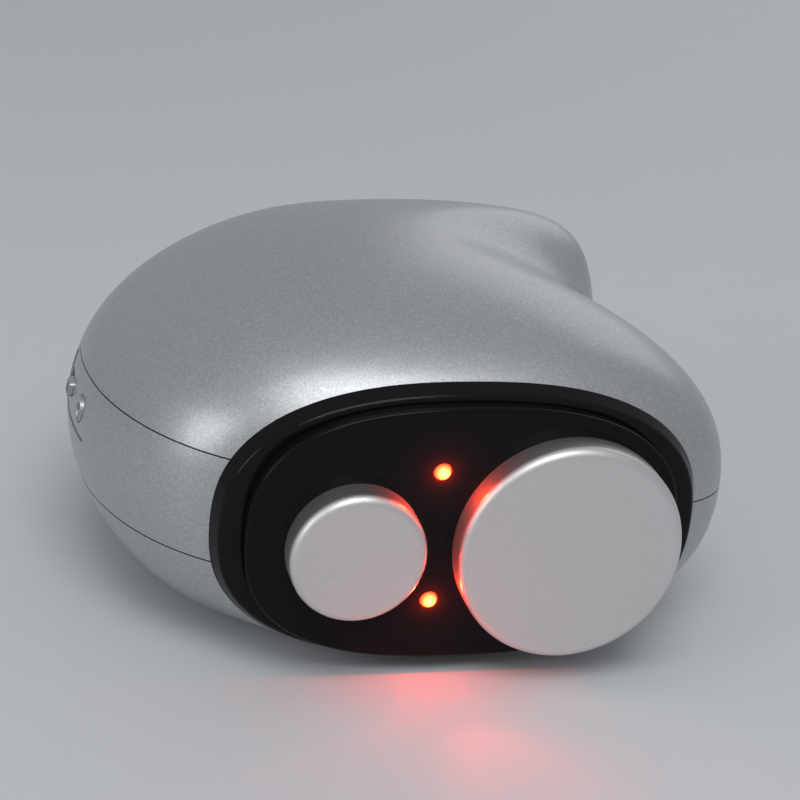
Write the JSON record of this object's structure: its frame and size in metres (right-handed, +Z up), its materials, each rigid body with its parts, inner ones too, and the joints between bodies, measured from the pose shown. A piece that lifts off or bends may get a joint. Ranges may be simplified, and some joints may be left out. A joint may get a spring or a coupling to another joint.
{
  "type": "bioelectric massager",
  "caption": "Palm-held bioelectric massager: silver body in three shells, oval black face with a small and a large metal electrode and two red lamps, rear push buttons, side power slider",
  "frame": {"origin": "on the table under the middle of the body's box", "axes": "+Z up from the table, -Y out of the electrode face, +X to the right seen from the front"},
  "size_m": [0.1119, 0.1079, 0.0622],
  "materials": {
    "silver_paint": "pearl silver paint on moulded plastic, satin gloss",
    "gloss_black": "high gloss black moulding",
    "satin_aluminium": "bead blasted and clear anodised",
    "red_lamp": "tinted clear lens, lit",
    "button_silver": "pearl silver paint on a moulded key",
    "satin_black": "moulded, satin",
    "rubber": "matt soft rubber",
    "bright_steel": "zinc plated",
    "brass_terminal": "stamped and tinned",
    "circuit_board": "solder mask over glass fibre",
    "foam": "closed cell foam tape",
    "battery_wrap": "foil pouch in clear sleeve",
    "ferrite": "sintered ferrite",
    "copper_winding": "yellow tape over enamelled wire",
    "capacitor_sleeve": "shrink sleeve",
    "header_plastic": "natural nylon",
    "lead_insulation": "silicone insulation"
  },
  "bodies": {
    "housing": {"top_cover": "silver_paint", "middle_band": "silver_paint", "bottom_cover": "silver_paint", "side_plate": "silver_paint", "face_collar": "gloss_black", "face_panel": "gloss_black", "control_panel": "gloss_black", "electrode_small": "satin_aluminium", "electrode_large": "satin_aluminium", "lamp_lower": "red_lamp", "lamp_upper": "red_lamp", "charge_socket": "bright_steel", "clamp_frame": "satin_black", "slide_switch": "bright_steel", "button_switches": "satin_black", "rubber_feet": "rubber", "case_screws": "bright_steel", "clamp_screws": "bright_steel", "lamp_board_screws": "bright_steel", "main_board_screws": "bright_steel", "control_board_screws": "bright_steel", "side_board_screws": "bright_steel", "electrode_studs": "bright_steel", "stud_washers": "bright_steel", "stud_nuts": "bright_steel", "stud_terminals": "brass_terminal", "lamp_board": "circuit_board", "main_board": "circuit_board", "control_board": "circuit_board", "side_board": "circuit_board", "battery_pad": "foam", "battery_pack": "battery_wrap", "transformer_core": "ferrite", "transformer_coil": "copper_winding", "capacitors": "capacitor_sleeve", "controller_chip": "satin_black", "lead_headers": "header_plastic", "lead_small": "lead_insulation", "lead_large": "lead_insulation"},
    "button_minus": {"button_minus": "button_silver"},
    "button_mode": {"button_mode": "button_silver"},
    "button_plus": {"button_plus": "button_silver"},
    "power_slider": {"power_slider": "button_silver"}
  },
  "joints": [
    {"name": "button_minus_press", "type": "slide", "parent": "housing", "child": "button_minus", "axis": [0, -0.5376, -0.8432], "range_m": [0, 0.0006], "stiffness_N_per_m": 400},
    {"name": "button_mode_press", "type": "slide", "parent": "housing", "child": "button_mode", "axis": [0, -0.5376, -0.8432], "range_m": [0, 0.0006], "stiffness_N_per_m": 400},
    {"name": "button_plus_press", "type": "slide", "parent": "housing", "child": "button_plus", "axis": [0, -0.5376, -0.8432], "range_m": [0, 0.0006], "stiffness_N_per_m": 400},
    {"name": "power_slide", "type": "slide", "parent": "housing", "child": "power_slider", "axis": [0, 1, 0], "range_m": [0, 0.0036]}
  ]
}
